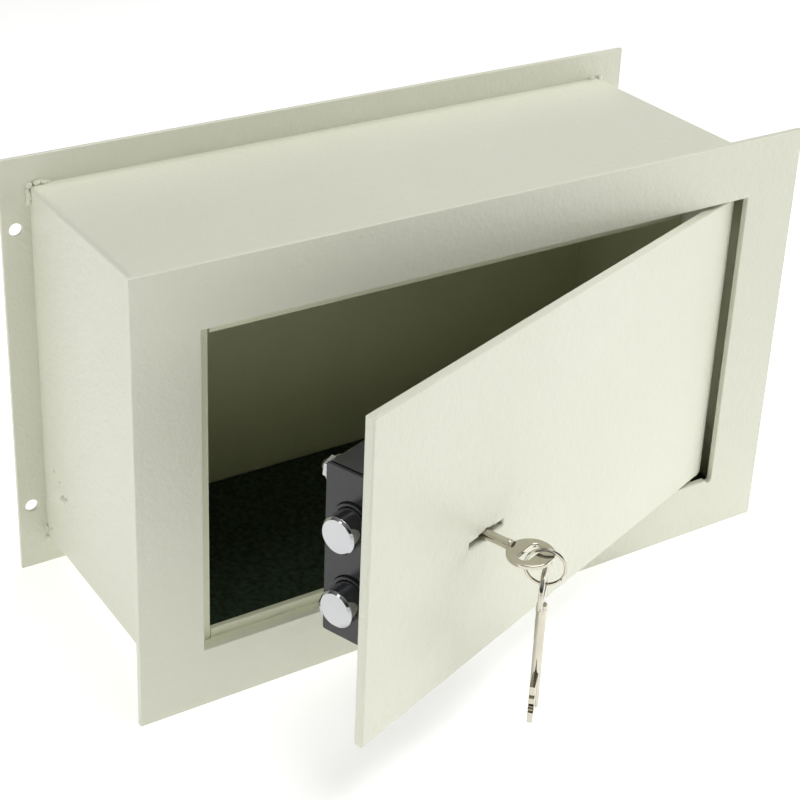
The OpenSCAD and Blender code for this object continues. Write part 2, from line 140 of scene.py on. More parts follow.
def plate(loops, z0, z1, edge=0.0):
    """A plate from closed outlines, holes included, with rounded edges."""
    curve = bpy.data.curves.new("outline", "CURVE")
    curve.dimensions = "2D"
    curve.fill_mode = "BOTH"
    curve.extrude = (z1 - z0) / 2 - edge
    curve.bevel_depth = edge
    curve.bevel_resolution = 2
    curve.offset = -edge
    for loop in loops:
        spline = curve.splines.new("POLY")
        spline.points.add(len(loop) - 1)
        for point, (x, y) in zip(spline.points, loop):
            point.co = (x, y, 0, 1)
        spline.use_cyclic_u = True
    holder = bpy.data.objects.new("outline", curve)
    bpy.context.scene.collection.objects.link(holder)
    graph = bpy.context.evaluated_depsgraph_get()
    mesh = bpy.data.meshes.new_from_object(holder.evaluated_get(graph))
    bpy.data.objects.remove(holder)
    bpy.data.curves.remove(curve)
    mesh.transform(Matrix.Translation((0, 0, (z0 + z1) / 2)))
    return welded(mesh)


def welded(mesh):
    """The mesh with doubled points merged and faces turned outwards."""
    work = bmesh.new()
    work.from_mesh(mesh)
    bmesh.ops.remove_doubles(work, verts=work.verts, dist=1e-4)
    bmesh.ops.recalc_face_normals(work, faces=work.faces)
    work.to_mesh(mesh)
    work.free()
    return mesh


def block(low, high, edge):
    """A box between two corners, with rounded edges."""
    mesh = bpy.data.meshes.new("block")
    work = bmesh.new()
    bmesh.ops.create_cube(work, size=1)
    for v in work.verts:
        v.co = Vector([(low[i] + high[i]) / 2 + v.co[i] * (high[i] - low[i]) for i in range(3)])
    bmesh.ops.bevel(work, geom=work.edges[:], offset=edge, segments=3, profile=0.5, affect="EDGES")
    work.to_mesh(mesh)
    work.free()
    return mesh


def lathe(profile, steps=64):
    """A solid turned round Z from (radius, height) points; a radius of 0 closes it."""
    mesh = bpy.data.meshes.new("lathe")
    work = bmesh.new()
    rings = []
    for radius, height in profile:
        if radius == 0:
            rings.append([work.verts.new((0, 0, height))])
            continue
        angles = [2 * math.pi * i / steps for i in range(steps)]
        rings.append([work.verts.new((radius * math.cos(a), radius * math.sin(a), height)) for a in angles])
    pairs = list(zip(rings, rings[1:]))
    if profile[0][0] and profile[-1][0]:
        pairs.append((rings[-1], rings[0]))
    for a, b in pairs:
        for i in range(steps):
            j = (i + 1) % steps
            quad = [a[i % len(a)], a[j % len(a)], b[j % len(b)], b[i % len(b)]]
            work.faces.new(list(dict.fromkeys(quad)))
    bmesh.ops.recalc_face_normals(work, faces=work.faces)
    work.to_mesh(mesh)
    work.free()
    return mesh


def tube(path, normals, half_a, half_b, sides=10):
    """An elliptical wire along a path with capped ends; half_a lies along the normals."""
    mesh = bpy.data.meshes.new("tube")
    work = bmesh.new()
    rings = []
    for i, (point, normal) in enumerate(zip(path, normals)):
        ahead = path[min(i + 1, len(path) - 1)] - path[max(i - 1, 0)]
        side = ahead.normalized().cross(normal)
        angles = [2 * math.pi * k / sides for k in range(sides)]
        rings.append([
            work.verts.new(point + normal * half_a * math.cos(a) + side * half_b * math.sin(a))
            for a in angles
        ])
    for a, b in zip(rings, rings[1:]):
        for k in range(sides):
            n = (k + 1) % sides
            work.faces.new([a[k], a[n], b[n], b[k]])
    work.faces.new(rings[0][::-1])
    work.faces.new(rings[-1])
    bmesh.ops.recalc_face_normals(work, faces=work.faces)
    work.to_mesh(mesh)
    work.free()
    return mesh


def moved(mesh, x=0.0, y=0.0, z=0.0, turn=None):
    if turn:
        mesh.transform(turn)
    mesh.transform(Matrix.Translation((x, y, z)))
    return mesh


def joined(meshes):
    """Several meshes as one."""
    work = bmesh.new()
    for mesh in meshes:
        work.from_mesh(mesh)
        bpy.data.meshes.remove(mesh)
    result = bpy.data.meshes.new("joined")
    work.to_mesh(result)
    work.free()
    return result


def cut(mesh, cutter):
    """The mesh with another taken out of it."""
    whole = bpy.data.objects.new("whole", mesh)
    tool = bpy.data.objects.new("tool", cutter)
    for obj in (whole, tool):
        bpy.context.scene.collection.objects.link(obj)
    boolean = whole.modifiers.new("cut", "BOOLEAN")
    boolean.object = tool
    boolean.solver = "EXACT"
    boolean.operation = "DIFFERENCE"
    graph = bpy.context.evaluated_depsgraph_get()
    result = bpy.data.meshes.new_from_object(whole.evaluated_get(graph))
    bpy.data.objects.remove(whole)
    bpy.data.objects.remove(tool)
    return welded(result)


def piece(name, mesh, placing, body, slot, stands_for=(), sharp=32, finish=None):
    """Puts a mesh in place as a shaded piece of the object, in its slot's finish unless one is given."""
    mesh.transform(Matrix.Scale(MM, 4))
    obj = bpy.data.objects.new(name, mesh)
    mesh.name = name
    bpy.context.scene.collection.objects.link(obj)
    obj.matrix_world = placing
    mesh.materials.clear()
    mesh.materials.append(MATERIALS[finish or slot])
    mesh.polygons.foreach_set("material_index", [0] * len(mesh.polygons))
    mesh.polygons.foreach_set("use_smooth", [True] * len(mesh.polygons))
    mesh.set_sharp_from_angle(angle=math.radians(sharp))
    weighted = obj.modifiers.new("weighted", "WEIGHTED_NORMAL")
    weighted.keep_sharp = True
    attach(obj, body)
    if stands_for:
        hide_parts(*stands_for)
    return obj


# ---------------------------------------------------------------- finishes

class Finish:
    """A Principled material built up from procedural noise in object space."""

    def __init__(self, name):
        self.material = bpy.data.materials.new(name)
        self.material.use_nodes = True
        self.tree = self.material.node_tree
        self.shader = self.tree.nodes["Principled BSDF"]
        self.coords = self.tree.nodes.new("ShaderNodeTexCoord")
        self.bumped = None

    def noise(self, scale, detail=2.0, stretch=(1, 1, 1)):
        """Noise whose coarsest grains are 1 / scale metres across; stretch squeezes it along an axis."""
        mapping = self.tree.nodes.new("ShaderNodeMapping")
        mapping.inputs["Scale"].default_value = stretch
        texture = self.tree.nodes.new("ShaderNodeTexNoise")
        texture.inputs["Scale"].default_value = scale
        texture.inputs["Detail"].default_value = detail
        self.tree.links.new(self.coords.outputs["Object"], mapping.inputs["Vector"])
        self.tree.links.new(mapping.outputs["Vector"], texture.inputs["Vector"])
        return texture.outputs["Fac"]

    def spread(self, value, low, high, a=0.3, b=0.7):
        """Maps a noise from a..b to low..high."""
        node = self.tree.nodes.new("ShaderNodeMapRange")
        node.inputs["From Min"].default_value = a
        node.inputs["From Max"].default_value = b
        node.inputs["To Min"].default_value = low
        node.inputs["To Max"].default_value = high
        self.tree.links.new(value, node.inputs["Value"])
        return node.outputs["Result"]

    def colour(self, value, dark, light, a=0.3, b=0.7):
        """Base colour that runs from dark to light as the noise goes from a to b."""
        ramp = self.tree.nodes.new("ShaderNodeValToRGB")
        ramp.color_ramp.elements[0].position = a
        ramp.color_ramp.elements[0].color = (*dark, 1)
        ramp.color_ramp.elements[1].position = b
        ramp.color_ramp.elements[1].color = (*light, 1)
        self.tree.links.new(value, ramp.inputs["Fac"])
        self.tree.links.new(ramp.outputs["Color"], self.shader.inputs["Base Color"])

    def maths(self, operation, first, second=None):
        """One sum on sockets or floats."""
        node = self.tree.nodes.new("ShaderNodeMath")
        node.operation = operation
        for socket, value in zip(node.inputs, (first, second)):
            if isinstance(value, float):
                socket.default_value = value
            elif value is not None:
                self.tree.links.new(value, socket)
        return node.outputs["Value"]

    def paint_inside_shade(self, tint, half_width, half_height, mouth, deep):
        """Paints shade, darker and more olive, on what lies within the body's outline: fully below the
        height deep, fading out to the mouth.

        The back plate's rear face lies within that outline too, so it gets the same painted shade as its
        front.
        """
        place = self.tree.nodes.new("ShaderNodeSeparateXYZ")
        self.tree.links.new(self.coords.outputs["Object"], place.inputs["Vector"])
        across = self.maths("LESS_THAN", self.maths("ABSOLUTE", place.outputs["X"]), half_width)
        upright = self.maths("LESS_THAN", self.maths("ABSOLUTE", place.outputs["Y"]), half_height)
        depth = self.spread(place.outputs["Z"], 1.0, 0.0, deep, mouth)
        mix = self.tree.nodes.new("ShaderNodeMix")
        mix.data_type = "RGBA"
        mix.blend_type = "MULTIPLY"
        mix.inputs["B"].default_value = (*tint, 1)
        colour = self.shader.inputs["Base Color"].links[0].from_socket
        between = self.maths("MULTIPLY", across, upright)
        self.tree.links.new(self.maths("MULTIPLY", between, depth), mix.inputs["Factor"])
        self.tree.links.new(colour, mix.inputs["A"])
        self.tree.links.new(mix.outputs["Result"], self.shader.inputs["Base Color"])

    def link(self, value, socket):
        """Feeds a value into one of the shader's sockets."""
        self.tree.links.new(value, self.shader.inputs[socket])

    def bump(self, height, distance, strength):
        """Adds a relief, its distance in metres, to those already there."""
        node = self.tree.nodes.new("ShaderNodeBump")
        node.inputs["Strength"].default_value = strength
        node.inputs["Distance"].default_value = distance
        self.tree.links.new(height, node.inputs["Height"])
        if self.bumped:
            self.tree.links.new(self.bumped, node.inputs["Normal"])
        self.bumped = node.outputs["Normal"]
        self.tree.links.new(self.bumped, self.shader.inputs["Normal"])

    def set(self, **values):
        """Sets the shader's plain inputs, with underscores for the spaces in their names."""
        for name, value in values.items():
            self.shader.inputs[name.replace("_", " ")].default_value = value
        return self


CREAM = ((0.715, 0.722, 0.600), (0.748, 0.752, 0.635))
STOP_PAINTED_SHADE = (0.97, 0.98, 0.87)   # painted shade of the door's recess on the stops: slightly darker and yellower than the rest
INSIDE_SHADE = (0.84, 0.85, 0.64)    # painted shade between the box's walls: darker and more olive
SHADE_MARGIN = 1.0                 # it starts this far inside the body's outer faces
SHADE_FROM = 0.8                   # and is full up to this share of the way to the box's mouth


def cream_paint(name, shade=(1, 1, 1)):
    """Cream-grey powder coat: satin, with a fine orange peel."""
    coat = Finish(name).set(IOR=1.5)
    dark, light = ([c * s for c, s in zip(tone, shade)] for tone in CREAM)
    coat.colour(coat.noise(9, 3), dark, light)
    coat.link(coat.spread(coat.noise(40, 3), 0.27, 0.36, 0.0, 1.0), "Roughness")
    coat.bump(coat.noise(620, 2.5), 0.00030, 0.75)
    coat.bump(coat.noise(230, 2), 0.0006, 0.45)
    return coat


def box_paint():
    """The same coat on the box, with painted shade, darker and more olive, between its walls and on the
    plate behind them.
    """
    half_w, half_h, mouth = local_box("body_shell", BOX)[1]
    coat = cream_paint("cream_paint_box")
    inside = [(half - SHADE_MARGIN) * MM for half in (half_w, half_h)]
    # painted shade: the coat turns darker and more olive between the walls
    coat.paint_inside_shade(INSIDE_SHADE, *inside, mouth * MM, mouth * MM * SHADE_FROM)
    return coat.material


def black_paint():
    """Glossier black coat on the lock case."""
    coat = Finish("black_paint").set(IOR=1.5)
    coat.colour(coat.noise(60, 3), (0.020, 0.020, 0.022), (0.030, 0.030, 0.033))
    coat.link(coat.spread(coat.noise(120, 3), 0.20, 0.27), "Roughness")
    coat.bump(coat.noise(700, 2), 0.00008, 0.25)
    return coat.material


def metal(name, dark, light, rough, grain, depth=0.00002):
    """A bare or plated metal with grain."""
    finish = Finish(name).set(Metallic=1.0)
    finish.colour(finish.noise(grain * 0.4, 3), dark, light)
    finish.link(finish.spread(finish.noise(grain, 3), *rough), "Roughness")
    finish.bump(finish.noise(grain * 2, 3), depth, 0.4)
    return finish.material


def felt():
    """Needle felt in dark green with lighter fibres."""
    cloth = Finish("felt").set(Sheen_Weight=0.14, Sheen_Roughness=0.5, Specular_IOR_Level=0.2)
    cloth.colour(cloth.noise(430, 6, (1, 1.6, 1)), (0.008, 0.016, 0.006), (0.038, 0.068, 0.034), 0.36, 0.76)
    cloth.link(cloth.spread(cloth.noise(300), 0.85, 1.0), "Roughness")
    cloth.bump(cloth.noise(700, 4), 0.0006, 0.5)
    return cloth.material


FLOOR_GLOW = (0.55, 0.36)    # emission under the object and away from it
FLOOR_REACH = (0.25, 0.6)    # distances from the middle between which it falls, in metres


def floor_finish():
    """Pale floor that glows like a light table, most of all under the object."""
    pale = Finish("floor_paper")
    pale.colour(pale.noise(2.5, 2), (0.93, 0.93, 0.92), (0.95, 0.95, 0.94))
    pale.link(pale.spread(pale.noise(8), 0.65, 0.75), "Roughness")
    reach = pale.tree.nodes.new("ShaderNodeVectorMath")
    reach.operation = "LENGTH"
    pale.tree.links.new(pale.coords.outputs["Object"], reach.inputs[0])
    glow = pale.spread(reach.outputs["Value"], *FLOOR_GLOW, *FLOOR_REACH)
    pale.link(glow, "Emission Strength")
    pale.set(Emission_Color=(1, 1, 1, 1))
    return pale.material


MATERIALS = {
    "cream_paint": cream_paint("cream_paint").material,
    "cream_paint_box": box_paint(),
    # the door stops' coat carries the painted shade of the recess
    "cream_paint_stop": cream_paint("cream_paint_stop", STOP_PAINTED_SHADE).material,
    "black_paint": black_paint(),
    "bright_chrome": metal("bright_chrome", (0.49, 0.50, 0.51), (0.53, 0.53, 0.54), (0.05, 0.09), 90),
    "zinc_steel": metal("zinc_steel", (0.50, 0.51, 0.53), (0.62, 0.62, 0.63), (0.28, 0.42), 160),
    "nickel": metal("nickel", (0.50, 0.475, 0.40), (0.59, 0.56, 0.48), (0.11, 0.17), 220, depth=0.000004),
    "brass": metal("brass", (0.62, 0.44, 0.17), (0.74, 0.56, 0.25), (0.24, 0.38), 200),
    "felt": felt(),
}


def dress_cad_nodes():
    """Gives every CAD node that stays in view its finish."""
    slots = {s["node"]: s["material_slot"] for s in frame["record"]["subparts"]}
    for node, obj in frame["nodes"].items():
        if node in slots:
            obj.data.materials.clear()
            obj.data.materials.append(MATERIALS[slots[node]])


# ---------------------------------------------------------------- box

PAINT_EDGE = 0.45   # rounding that the paint leaves on a cut edge
OPENING_W = 256.0
RELIEF_R = 1.7      # corner relief at the hinge side's foot
RELIEF_RISE = 0.4   # its middle, above the opening's lower edge
STOP_T = 2.8
STOP_EDGE = 0.3
LIP_GAPS = {"stop_top": 0.6, "stop_bottom": 0.05}   # from the left stop's lip to these stops' ends


def face_plate():
    """The plate round the opening, whose edges are flush with the legs of the stops."""
    low, high = local_box("front_plate", BOX)
    left = local_box("stop_left", BOX)[0].x + STOP_T
    foot = local_box("stop_bottom", BOX)[0].y + STOP_T
    head = local_box("stop_top", BOX)[1].y - STOP_T
    right = left + OPENING_W
    cx = right - RELIEF_R
    cy = foot + RELIEF_RISE
    start = 180 + math.degrees(math.asin(RELIEF_RISE / RELIEF_R))
    opening = [(left, head), (left, foot)] + arc(cx, cy, RELIEF_R, start, 360, 12) + [(right, head)]
    mesh = plate([rectangle(low.x, low.y, high.x, high.y), opening], low.z, high.z, PAINT_EDGE)
    piece("face_plate", mesh, BOX, "safe_box", "cream_paint", ["front_plate"])


def angle_outline(leg, lip):
    """Section of a folded angle: the leg runs along +y from the fold, the lip along +x."""
    outer, inner, end = 2.4, 0.5, 0.6   # radii of the fold and of the lip's end
    leg += PAINT_EDGE
    return (
        arc(outer, outer, outer, 180, 270, 6)
        + arc(STOP_T + lip - end, end, end, 270, 360, 4)
        + arc(STOP_T + lip - end, STOP_T - end, end, 0, 90, 4)
        + arc(STOP_T + inner, STOP_T + inner, inner, 270, 180, 4)
        + [(STOP_T, leg), (0, leg)]
    )


def door_stops():
    """The three folded angles that the door closes on."""
    low, high = local_box("stop_left", BOX)
    lip_end = high.x
    outline = [(low.x + x, low.z + y) for x, y in angle_outline(high.z - low.z, high.x - low.x - STOP_T)]
    half = (high.y - low.y) / 2
    # plan view: x to the right, y out, z down
    plan = axes(ORIGIN, RIGHT, FORWARD)
    mesh = plate([outline], -half, half, STOP_EDGE)
    piece("stop_angle_left", mesh, plan, "safe_box", "cream_paint", ["stop_left"], finish="cream_paint_stop")
    # side view: x up, y out, z to the right
    side = axes(ORIGIN, UP, FORWARD)
    for node, name, up in (("stop_top", "stop_angle_top", 1), ("stop_bottom", "stop_angle_foot", -1)):
        low, high = local_box(node, BOX)
        root = high.y if up > 0 else low.y
        lip_start = lip_end + LIP_GAPS[node]
        section = angle_outline(high.z - low.z, high.y - low.y - STOP_T)
        outline = [(root - up * x, low.z + y) for x, y in section]
        angle = plate([outline], lip_start, high.x, STOP_EDGE)
        # the leg runs on to the corner behind the face plate
        front = high.z + PAINT_EDGE
        leg = [(root, low.z + 1), (root - up * STOP_T, low.z), (root - up * STOP_T, front), (root, front)]
        mesh = joined([angle, plate([leg], low.x, lip_start + STOP_EDGE)])
        piece(name, mesh, side, "safe_box", "cream_paint", [node], finish="cream_paint_stop")


FOLD_R = 2.5
SHEET = 2.0
REAR_CORNER_R = 0.6


def box_body():
    """The body sheet, folded round between the two plates."""
    low, high = local_box("body_shell", BOX)
    outer = rectangle(low.x, low.y, high.x, high.y, FOLD_R)
    inner = rectangle(low.x + SHEET, low.y + SHEET, high.x - SHEET, high.y - SHEET, FOLD_R - SHEET)
    mesh = plate([outer, inner], low.z, high.z)
    piece("box_body", mesh, BOX, "safe_box", "cream_paint", ["body_shell"], finish="cream_paint_box")


def rear_plate():
    """The back plate with its four fixing holes."""
    low, high = local_box("back_plate", BOX)
    dims = next(m for m in frame["record"]["mounts"] if m["name"] == "wall_bolts")["dims"]
    half_x, half_y = dims["spacing_x_mm"] / 2, dims["spacing_y_mm"] / 2
    loops = [rectangle(low.x, low.y, high.x, high.y, REAR_CORNER_R)]
    loops += [circle(x * half_x, y * half_y, dims["hole_r_mm"]) for x in (-1, 1) for y in (-1, 1)]
    mesh = plate(loops, low.z, high.z, PAINT_EDGE)
    piece("rear_plate", mesh, BOX, "safe_box", "cream_paint", ["back_plate"], finish="cream_paint_box")


WELD_LEG = 2.5
WELD_RUN = 5.3       # length along which a bead's blobs are spaced
WELD_INSET = 4.9     # a bead's middle, from the body's corner
WELD_VOXEL = 0.20
WELD_BLOBS = 11
BLOB_SIZE = (0.26, 0.50)     # radius of a blob, of WELD_LEG
BLOB_PLACE = (0.10, 0.42)    # its distance from either wall, of WELD_LEG
BLOB_STRAY = 0.4             # how far it lies off its even place along the bead
BLOB_RELIEF = 0.30           # height of the unevenness on it
BLOB_LUMPS = 1.7             # lumps of it per millimetre
SMALL_BEAD = 0.55            # all but those at the top left are smaller
# the blob that joins two beads at a corner: its lowest and highest corner, and its rounding
CORNER_BLOB = ((-1.3, -1.3, -0.4), (1.3, 1.3, 1.1), 0.9)
# weld spatter on the body's left side: height, distance from the plate, size
SPATTER = ((-52.7, 20.0, 2.4), (-51.0, 23.2, 1.1), (-46.0, 16.5, 0.7), (-43.5, 11.0, 0.8), (-76.0, 5.0, 1.2))
# half section of a grain of spatter of size 1: radius, height
GRAIN = ((0, 0.62), (0.35, 0.56), (0.7, 0.36), (0.9, 0.1))
GRAIN_FOOT = -0.1            # how far it reaches into the paint


def weld_blobs(seed):
    """One short bead along X, laid in overlapping blobs in the corner of the -Y and -Z walls."""
    rng = random.Random(seed)
    work = bmesh.new()
    for i in range(WELD_BLOBS):
        along = (i / (WELD_BLOBS - 1) - 0.5) * WELD_RUN + rng.uniform(-BLOB_STRAY, BLOB_STRAY)
        size = WELD_LEG * rng.uniform(*BLOB_SIZE)
        rise = WELD_LEG * rng.uniform(*BLOB_PLACE)
        centre = Vector((along, rise, WELD_LEG * rng.uniform(*BLOB_PLACE)))
        ball = bmesh.ops.create_icosphere(work, subdivisions=3, radius=size)["verts"]
        elsewhere = Vector((seed * 5, i * 3, 0))
        for v in ball:
            v.co += v.co.normalized() * BLOB_RELIEF * noise.noise(v.co * BLOB_LUMPS + elsewhere)
            v.co += centre
    mesh = bpy.data.meshes.new("bead")
    work.to_mesh(mesh)
    work.free()
    return mesh


def fused(mesh, voxel):
    """Overlapping shapes as one skin."""
    holder = bpy.data.objects.new("fuse", mesh)
    bpy.context.scene.collection.objects.link(holder)
    remesh = holder.modifiers.new("remesh", "REMESH")
    remesh.mode = "VOXEL"
    remesh.voxel_size = voxel
    smooth = holder.modifiers.new("smooth", "SMOOTH")
    smooth.iterations = 1
    graph = bpy.context.evaluated_depsgraph_get()
    result = bpy.data.meshes.new_from_object(holder.evaluated_get(graph))
    bpy.data.objects.remove(holder)
    return result


def weld_beads(name, node, plate_z, out, spatter=()):
    """Beads round the body's corners at a plate; out is 1 where they stand in front of it, else -1."""
    low, high = local_box("body_shell", BOX)
    spots = []
    for x in (low.x + WELD_INSET, high.x - WELD_INSET):
        spots += [(x, high.y, 0), (x, low.y, 180)]
    for y in (low.y + WELD_INSET, high.y - WELD_INSET):
        spots += [(low.x, y, 90), (high.x, y, 270)]
    beads = []
    for seed, (x, y, angle) in enumerate(spots):
        bead = weld_blobs(seed + 20 * out)
        bead.transform(Matrix.Scale(out, 4, (0, 0, 1)))
        if y < 0 or x > 0:
            bead.transform(Matrix.Scale(SMALL_BEAD, 4))
        beads.append(moved(bead, x, y, plate_z, turned(angle, "Z")))
    # a blob on each corner joins its two beads
    for x in (low.x, high.x):
        for y in (low.y, high.y):
            beads.append(moved(block(*CORNER_BLOB), x, y, plate_z))
    mesh = fused(joined(beads), WELD_VOXEL)
    grains = []
    for y, z, size in spatter:
        profile = [(size * r, size * h) for r, h in GRAIN] + [(size, GRAIN_FOOT), (0, GRAIN_FOOT)]
        grains.append(moved(lathe(profile, 24), low.x, y, plate_z + z, turned(-90, "Y")))
    piece(name, joined([mesh] + grains), BOX, "safe_box", "cream_paint", [node], sharp=70)


UP_LOCAL = Vector((0, 1, 0))
MAT_STEPS = (140, 58)        # cells of the sheet along its width and its depth
MAT_DIP = 0.15               # its mean surface, below the top of the plain mat
# its unevenness: height, lumps per millimetre, and where in the noise it is taken
MAT_WAVES = ((0.22, 0.5, 0), (0.12, 1.3, 5))
FIBRE_ROOT = 0.3             # the fibres' ends, below that top
FIBRES = 2600
FIBRE_SEED = 11
FIBRE_R = 0.07
FIBRE_REACH = (0.8, 2.6)
FIBRE_RISE = (0.35, 0.9)


def mat():
    """The felt mat: an uneven sheet with loose fibres standing on it."""
    low, high = local_box("floor_carpet", BOX)
    width, depth = high.x - low.x, high.z - low.z
    steps_x, steps_z = MAT_STEPS
    work = bmesh.new()
    grid = []
    for i in range(steps_x + 1):
        row = []
        for k in range(steps_z + 1):
            x = low.x + width * i / steps_x
            z = low.z + depth * k / steps_z
            wave = sum(h * noise.noise((x * lumps, z * lumps, at)) for h, lumps, at in MAT_WAVES)
            row.append(work.verts.new((x, high.y - MAT_DIP + wave, z)))
        grid.append(row)
    for i in range(steps_x):
        for k in range(steps_z):
            work.faces.new([grid[i][k], grid[i][k + 1], grid[i + 1][k + 1], grid[i + 1][k]])
    rim = [grid[i][0] for i in range(steps_x)] + [grid[-1][k] for k in range(steps_z)]
    rim += [grid[i][-1] for i in range(steps_x, 0, -1)] + [grid[0][k] for k in range(steps_z, 0, -1)]
    base = [work.verts.new((v.co.x, low.y, v.co.z)) for v in rim]
    for i in range(len(rim)):
        n = (i + 1) % len(rim)
        work.faces.new([rim[i], rim[n], base[n], base[i]])
    work.faces.new(base)
    bmesh.ops.recalc_face_normals(work, faces=work.faces)
    mesh = bpy.data.meshes.new("mat")
    work.to_mesh(mesh)
    work.free()
    sheet = piece("floor_mat", mesh, BOX, "safe_box", "felt", ["floor_carpet"], sharp=60)

    rng = random.Random(FIBRE_SEED)
    fibres = []
    for _ in range(FIBRES):
        x, z = rng.uniform(low.x + 1, high.x - 1), rng.uniform(low.z + 1, high.z - 1)
        start = Vector((x, high.y - FIBRE_ROOT, z))
        heading = rng.uniform(0, 2 * math.pi)
        reach = rng.uniform(*FIBRE_REACH)
        rise = rng.uniform(*FIBRE_RISE)
        along = Vector((math.cos(heading), 0, math.sin(heading)))
        path = [start, start + along * reach * 0.5 + UP_LOCAL * rise, start + along * reach]
        fibres.append(tube(path, [UP_LOCAL] * 3, FIBRE_R, FIBRE_R, 3))
    pile = piece("mat_fibres", joined(fibres), BOX, "safe_box", "felt", sharp=80)


# ---------------------------------------------------------------- door

KEYHOLE_HALF = 11.0    # half of the slot's length
KEYHOLE_H = 2.6        # the slot's height
KEYHOLE_STEP = 5.0     # half of the length of its higher part
KEYHOLE_STEP_H = 3.8   # the height of that part
KEYHOLE_R = 2.6        # radius of its round middle
HINGE_EDGE_R = 3.5
DOOR_T = 4.2
DOOR_EDGE = 0.8
BEND = 8.0             # width of the rolled strip at the hinge edge
BEND_EDGE = 0.4


def keyhole_outline(x, y):
    """A slot with a step and a round middle."""
    h, s = KEYHOLE_H / 2, KEYHOLE_STEP_H / 2
    lift = math.degrees(math.asin(s / KEYHOLE_R))
    half = [(KEYHOLE_HALF, -h), (KEYHOLE_HALF, h), (KEYHOLE_STEP, h), (KEYHOLE_STEP, s)]
    half += arc(0, 0, KEYHOLE_R, lift, 180 - lift, 8)
    half += [(-KEYHOLE_STEP, s), (-KEYHOLE_STEP, h)]
    whole = half + [(-px, -py) for px, py in half]
    return [(x + px, y + py) for px, py in whole]


def key_centre():
    """Where the key's axis meets the door's face, in the door's frame."""
    low, high = local_box("key_blade", DOOR)
    return (low.x + high.x) / 2, (low.y + high.y) / 2


def door_leaf():
    """The door: a plate with soft edges, rolled back along its hinge edge."""
    low, high = local_box("door_plate", DOOR)
    face = high.z
    turn_from = high.x - BEND
    outline = rectangle(low.x, low.y, turn_from + DOOR_EDGE, high.y)
    leaf = plate([outline, keyhole_outline(*key_centre())], face - DOOR_T, face, DOOR_EDGE)
    # section of the hinge edge, in plan: a wide curve in front, a round bead behind
    r = HINGE_EDGE_R
    angles = [math.radians(90 - 90 * i / 14) for i in range(14)]
    section = [(turn_from + BEND * math.cos(a), face - r + r * math.sin(a)) for a in angles]
    section += arc(high.x - r, face - r, r, 360, 180, 20) + [(turn_from, face - DOOR_T)]
    half = (high.y - low.y) / 2
    edge = moved(plate([section], -half, half, BEND_EDGE), turn=turned(90, "X"))
    piece("door_leaf", joined([leaf, edge]), DOOR, "door", "cream_paint", ["door_plate"], sharp=40)


# ---------------------------------------------------------------- lock

CASE_WALL = 1.2
CASE_FOLD_R = 1.7
CHANNEL_EDGE = 0.2
END_WALL_EDGE = 0.5
END_WALL_CORNER_R = 1.1
SEAM = 0.55        # between the channel and the end walls
BORE_R = 11.05     # hole for the cap over the key's end
BORE_REACH = 6.0   # length of the shape that cuts it
GUIDE_R = 8.75     # outside of a bolt's collar
STUD_INSET = 6.0   # from the case's edges


def bolt_centre(node):
    """Height and depth of a bolt's axis in the door's frame."""
    low, high = local_box(node, DOOR)
    return (low.y + high.y) / 2, (low.z + high.z) / 2


def lock_cover():
    """The lock case: a folded channel between two end walls, with open seams at their edges."""
    low, high = local_box("lock_case", DOOR)
    # side view: x up, y out, z to the right of the door
    side = axes(DOOR.translation, UP, DOOR_OUT)
    r = CASE_FOLD_R
    inner = r - CASE_WALL
    channel = (
        [(low.y, high.z)]
        + arc(low.y + r, low.z + r, r, 180, 270, 6)
        + arc(high.y - r, low.z + r, r, 270, 360, 6)
        + [(high.y, high.z), (high.y - CASE_WALL, high.z)]
        + arc(high.y - r, low.z + r, inner, 360, 270, 4)
        + arc(low.y + r, low.z + r, inner, 270, 180, 4)
        + [(low.y + CASE_WALL, high.z)]
    )
    gap = CASE_WALL + SEAM
    mesh = plate([channel], low.x + gap, high.x - gap, CHANNEL_EDGE)
    kx, ky = key_centre()
    bore = lathe([(0, 0), (BORE_R, 0), (BORE_R, BORE_REACH), (0, BORE_REACH)])
    # the bore's axis runs along the side view's y
    bore = moved(bore, ky, low.z + BORE_REACH / 2, kx, turned(90, "X"))
    mesh = cut(mesh, bore)
    piece("case_channel", mesh, side, "door", "black_paint", ["lock_case"], sharp=34)

    guides = [bolt_centre("upper_bolt"), bolt_centre("lower_bolt")]
    outline = rectangle(low.y, low.z, high.y, high.z, END_WALL_CORNER_R)
    holes = [circle(y, z, GUIDE_R) for y, z in guides]
    wall = plate([outline] + holes, low.x, low.x + CASE_WALL, END_WALL_EDGE)
    piece("case_end_bolts", wall, side, "door", "black_paint", ["lock_case"])
    wall = plate([outline], high.x - CASE_WALL, high.x, END_WALL_EDGE)
    piece("case_end_hinge", wall, side, "door", "black_paint", ["lock_case"])


def lock_bolts():
    """Chromed bolts with a chamfered, faintly dished end, in black entry collars."""
    to_side = turned(90, "Y")
    for level in ("upper", "lower"):
        low, high = local_box(level + "_bolt", DOOR)
        y, z = (low.y + high.y) / 2, (low.z + high.z) / 2
        r = (high.y - low.y) / 2
        profile = [(0, 0.12), (r * 0.55, 0.06), (r - 1.15, 0.0), (r - 0.95, 0.02), (r - 0.80, 0.09)]
        length = high.x - low.x
        profile += [(r - 0.10, 0.80), (r - 0.02, 0.92), (r, 1.05), (r, length), (0, length)]
        bolt = moved(lathe(profile, 96), low.x, y, z, to_side)
        piece(level + "_round_bolt", bolt, DOOR, "bolt_work", "bright_chrome", [level + "_bolt"], sharp=50)
        low, high = local_box(level + "_bolt_guide", DOOR)
        bore = r + 0.05
        length = high.x - low.x
        profile = [(bore, 0.35), (bore + 0.35, 0), (GUIDE_R - 0.4, 0), (GUIDE_R - 0.1, 0.1)]
        profile += [(GUIDE_R, 0.4), (GUIDE_R, length), (bore, length)]
        guide = moved(lathe(profile, 96), low.x, y, z, to_side)
        piece(level + "_collar", guide, DOOR, "door", "black_paint", [level + "_bolt_guide"], sharp=50)


